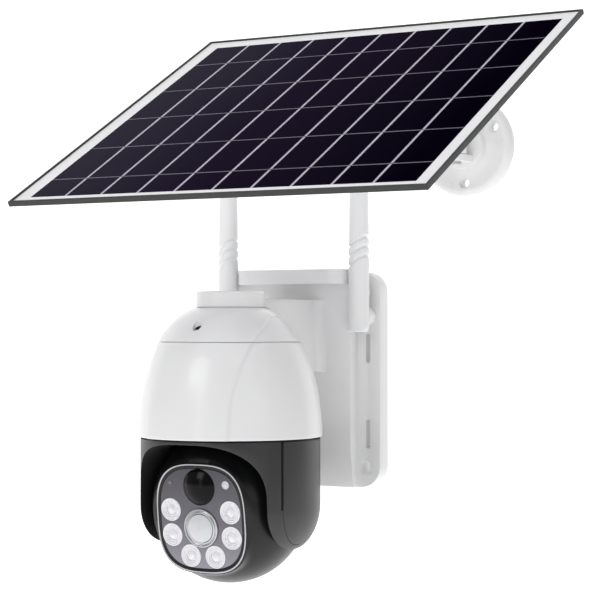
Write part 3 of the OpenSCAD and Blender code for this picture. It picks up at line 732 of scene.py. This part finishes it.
def led_lenses():
    """Six ribbed lenses with a domed middle."""
    profile = [(NEAR_AXIS, -3), (5.2, -3), (5.2, -1.5), (6.7, -1.5), (6.7, 0.2), (6.5, 0.4),
               (6.15, 0.4), (6.0, 0.35), (5.6, -0.2), (5.2, 0.1), (4.8, 0.1), (4.5, -0.55),
               (4.1, -0.3), (3.7, -0.3), (3.4, -1.0), (3.0, -0.8), (2.7, -0.5), (2.1, 0.15),
               (1.3, 0.5), (0.6, 0.62), (NEAR_AXIS, 0.64)]
    lenses = [turned(profile, 64, spot(at)) for at in LED_AT]
    add("led_lens_set", join(*lenses), ["led_lenses"], led_plastic(), smooth_angle=30)


def lens_black():
    """Near-black dome glass with a weak reflection."""
    look = Look("lens_black", (0.001, 0.001, 0.0013), 0.18, **{"Specular IOR Level": 0.16})
    return look.tint(60, 0.2).grain(500, 0.000002, 0.1).mat


def camera_lens():
    """Hollow glass dome over the camera's lens."""
    outer = arc(-12.3, 16.3, 41, 90, 16)[1:-1] + [(NEAR_AXIS, 4.0)]
    inner = [(NEAR_AXIS, 2.8)] + arc(-12.3, 15.1, 88, 51, 10)
    profile = [(9.3, -2), (LENS_R, -2), (LENS_R, -0.6)] + outer + inner
    dome = turned(profile, 96, spot(LENS_AT), closed=True)
    add("lens_dome_glass", dome, ["lens_dome"], lens_black())


def pir_milk():
    """Milky polyethylene with a soft glow of its own thickness."""
    look = Look("pir_white", (0.64, 0.65, 0.68), 0.4, **{"Subsurface Weight": 0.2,
                                                         "Subsurface Scale": 0.003})
    return look.tint(400, 0.03).grain(900, 0.00002, 0.4).mat


def pir():
    """Bright grooved ring, and a lens of fine round steps on a shallow dome."""
    ring = [(8.25, -2), (11.3, -2), (11.3, 0.9), (11.1, 1.15), (10.6, 1.2), (10.35, 0.95),
            (10.2, 0.5), (9.9, 0.35), (9.6, 0.5), (9.45, 1.0), (9.2, 1.2), (8.7, 1.2), (8.4, 0.9),
            (8.25, 0.4)]
    trim = turned(ring, 96, spot(PIR_AT), closed=True)
    add("pir_ring_trim", trim, ["pir_ring"], CHROME)
    lens = [(NEAR_AXIS, -1.6), (8.2, -1.6), (8.2, -0.4)]
    r, step, dome, depth = 8.15, 0.9, 25, 22
    while r > step:
        height = sqrt(dome ** 2 - r * r) - depth
        lens += [(r, height - 0.02), (r - 0.12, height + 0.10), (r - 0.62, height + 0.14)]
        r -= step
    lens += [(NEAR_AXIS, 3.0)]
    steps = turned(lens, 72, spot(PIR_AT))
    add("pir_lens_fresnel", steps, ["pir_lens"], pir_milk(), smooth_angle=60)


def small_sensors():
    """Small dark light sensor and larger pale status light."""
    grey = Look("sensor_grey", (0.10, 0.10, 0.12), 0.15, **{"Coat Weight": 1.0})
    pale = Look("status_light", (0.62, 0.63, 0.68), 0.2, **{"Coat Weight": 1.0})
    grey.tint(800, 0.2).grain(900, 0.00001)
    pale.tint(800, 0.1).grain(900, 0.00001)
    small = [(NEAR_AXIS, -1), (1.3, -1), (1.3, 0.1), (1.1, 0.3), (0.6, 0.42), (NEAR_AXIS, 0.45)]
    large = [(NEAR_AXIS, -1), (2.4, -1), (2.4, 0.1), (2.2, 0.3), (1.9, 0.3), (1.8, 0.05),
             (1.4, 0.25), (0.7, 0.5), (NEAR_AXIS, 0.55)]
    add("light_sensor_eye", turned(small, 40, spot(SENSOR_AT)), ["light_sensors"], grey.mat)
    add("status_light_eye", turned(large, 48, spot(STATUS_AT)), ["light_sensors"], pale.mat)


def ball_rear():
    """Rear half of the ball, with a well for each of its four screws."""
    place = BALL @ BACKWARD
    seam, rows, screw = BALL_SEAM + SEAM_AIR, 36, 22
    outer = []
    for i in range(rows + 1):
        z = seam + (BALL_R - 0.0005 - seam) * sin(pi / 2 * i / rows)
        outer.append((sqrt(max(1e-6, BALL_R ** 2 - z * z)), z))
    scale = (BALL_R - BALL_SHELL) / BALL_R
    inner = [(r * scale, z * scale) for r, z in reversed(outer[1:])]
    profile = [(sqrt(BALL_R ** 2 - seam ** 2) - BALL_SHELL, seam)] + outer + inner
    shell_mesh = turned(profile, 144, place, closed=True)
    piece = add("ball_rear_shell", shell_mesh, ["ball_rear"], GLOSS)
    wells = [turned([(2.9, 31), (2.9, 60)], 40, place @ Matrix.Translation((x * MM, z * MM, 0)))
             for x in (-screw, screw) for z in (screw, -screw)]
    cut(piece, join(*wells))


ball_front()
face_trim()
window()
led_lenses()
camera_lens()
pir()
small_sensors()
ball_rear()


# ---------------------------------------------------------------- moulded and plain nodes

# Nodes whose edges are rounded: material, width of the rounding in mm, nodes
MOULDED = [
    (BLACK, 0.8, "yoke_frame"),
    (COVER, 0.7, "side_cover_left side_cover_right"),
    (WHITE, 1.2, "wall_plate arm_housing"),
    (ANTENNA, 0.4, "antenna_posts"),
    (POWDER, 0.8, "panel_flange panel_arm knuckle"),
    (FRAME, 0.5, "panel_bracket"),
    (TRIM, 1.0, "junction_box"),
    (TRIM, 0.5, "tilt_knob power_inlet"),
    (RUBBER, 0.4, "power_button"),
]
for mat, width, names in MOULDED:
    for node in names.split():
        rounded_copy(node, mat, width)

# Nodes that keep their CAD shape
PLAIN = {
    STEEL: "cover_screws cap_screw cap_bolts chassis_screws yoke_screws ball_screws "
           "bracket_screws swing_pin turn_pin tilt_pin tilt_pivots pan_spindle spindle_nut "
           "pan_bearing",
    CAN: "pan_motor tilt_motor",
    ACETAL: "pan_gear pan_pinion sun_gear tilt_pinion",
    CHASSIS: "chassis",
    BOARD: "antenna_board main_board led_board sensor_board",
    CELL: "battery_cells",
    RUBBER: "plate_gasket rim_seal",
    TRIM: "battery_holder lens_barrel speaker",
}
for mat, names in PLAIN.items():
    for node in names.split():
        NODES[node].data.materials.clear()
        NODES[node].data.materials.append(mat)


# ---------------------------------------------------------------- antennas

# Slanted grooves round the antennas; GROOVE_Z is in mm from the wall plate's centre
GROOVE_Z, GROOVE_SLANT, GROOVE_HALF, GROOVE_DEPTH = (73.0, 78.7, 84.4), 0.57, 1.25, 1.1
ANTENNA_FOOT, ANTENNA_BASE_R, ANTENNA_TIP_R = -9.8, 6.4, 5.5
POST_REACH, POST_GAP = 7, 0.3    # how far a post stands out, and the air behind the antenna's flat


def antenna(side, node):
    """A tapered rod with three slanted grooves, cut flat at its foot where it meets its post."""
    pivot = Vector(joint(node + "_fold")["pos_m"])
    place = Matrix.Translation(pivot)
    foot, top = ANTENNA_FOOT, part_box(node)[1][2] / MM - pivot.z / MM
    rows, steps = 190, 80
    grooves = [z - pivot.z / MM for z in GROOVE_Z]

    def plain(z):
        """Radius of the rod with a round tip and a softened foot."""
        rise = min(1, max(0, (z - 30) / (top - 32)))
        r = ANTENNA_BASE_R + (ANTENNA_TIP_R - ANTENNA_BASE_R) * rise
        if z > top - 2:
            r -= 2.2 * (1 - sqrt(max(0, 1 - ((z - top + 2) / 2) ** 2)))
        if z < foot + 0.8:
            r -= 0.8 * (1 - sqrt(max(0, 1 - ((foot + 0.8 - z) / 0.8) ** 2)))
        return r

    def grooved(a, z):
        """Radius with the slanted grooves cut in."""
        r = plain(z)
        for groove in grooves:
            off = abs(z - groove - GROOVE_SLANT * r * cos(a))
            if off < GROOVE_HALF:
                r -= GROOVE_DEPTH * (1 - (off / GROOVE_HALF) ** 2)
        return r

    levels = [foot + (top - foot) * i / rows for i in range(rows + 1)]
    rings = [level_ring(place, z, steps, lambda a, z=z: grooved(a, z)) for z in levels]
    piece = add(node + "_rod", ring_mesh(rings), [node], ANTENNA)
    block_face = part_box("antenna_posts")[0][1] / MM + POST_REACH
    flat_y = block_face - POST_GAP - pivot.y / MM
    low, high = (-10 * MM, flat_y * MM, -20 * MM), (10 * MM, 20 * MM, 12.5 * MM)
    cut(piece, box_mesh(low, high, place))
    cut(piece, foot_corner(side, foot, place))
    shade(piece, 40)


def foot_corner(side, foot, place):
    """What is cut off an antenna's foot to leave a round outer corner."""
    outer_x, low_z = side * 9, foot - 2
    keep_x, keep_z, keep_r = side * -1.0, foot + 5, 7.4
    turns = [radians(t) for t in range(0, 91, 6)]
    edge = [(outer_x, low_z), (outer_x, keep_z)]
    edge += [(keep_x + side * keep_r * cos(t), keep_z - keep_r * sin(t)) for t in turns]
    edge += [(keep_x, low_z)]
    return ring_mesh([[place @ Vector((x * MM, y * MM, z * MM)) for x, z in edge]
                      for y in (-12, 12)])


antenna(-1, "antenna_left")
antenna(1, "antenna_right")
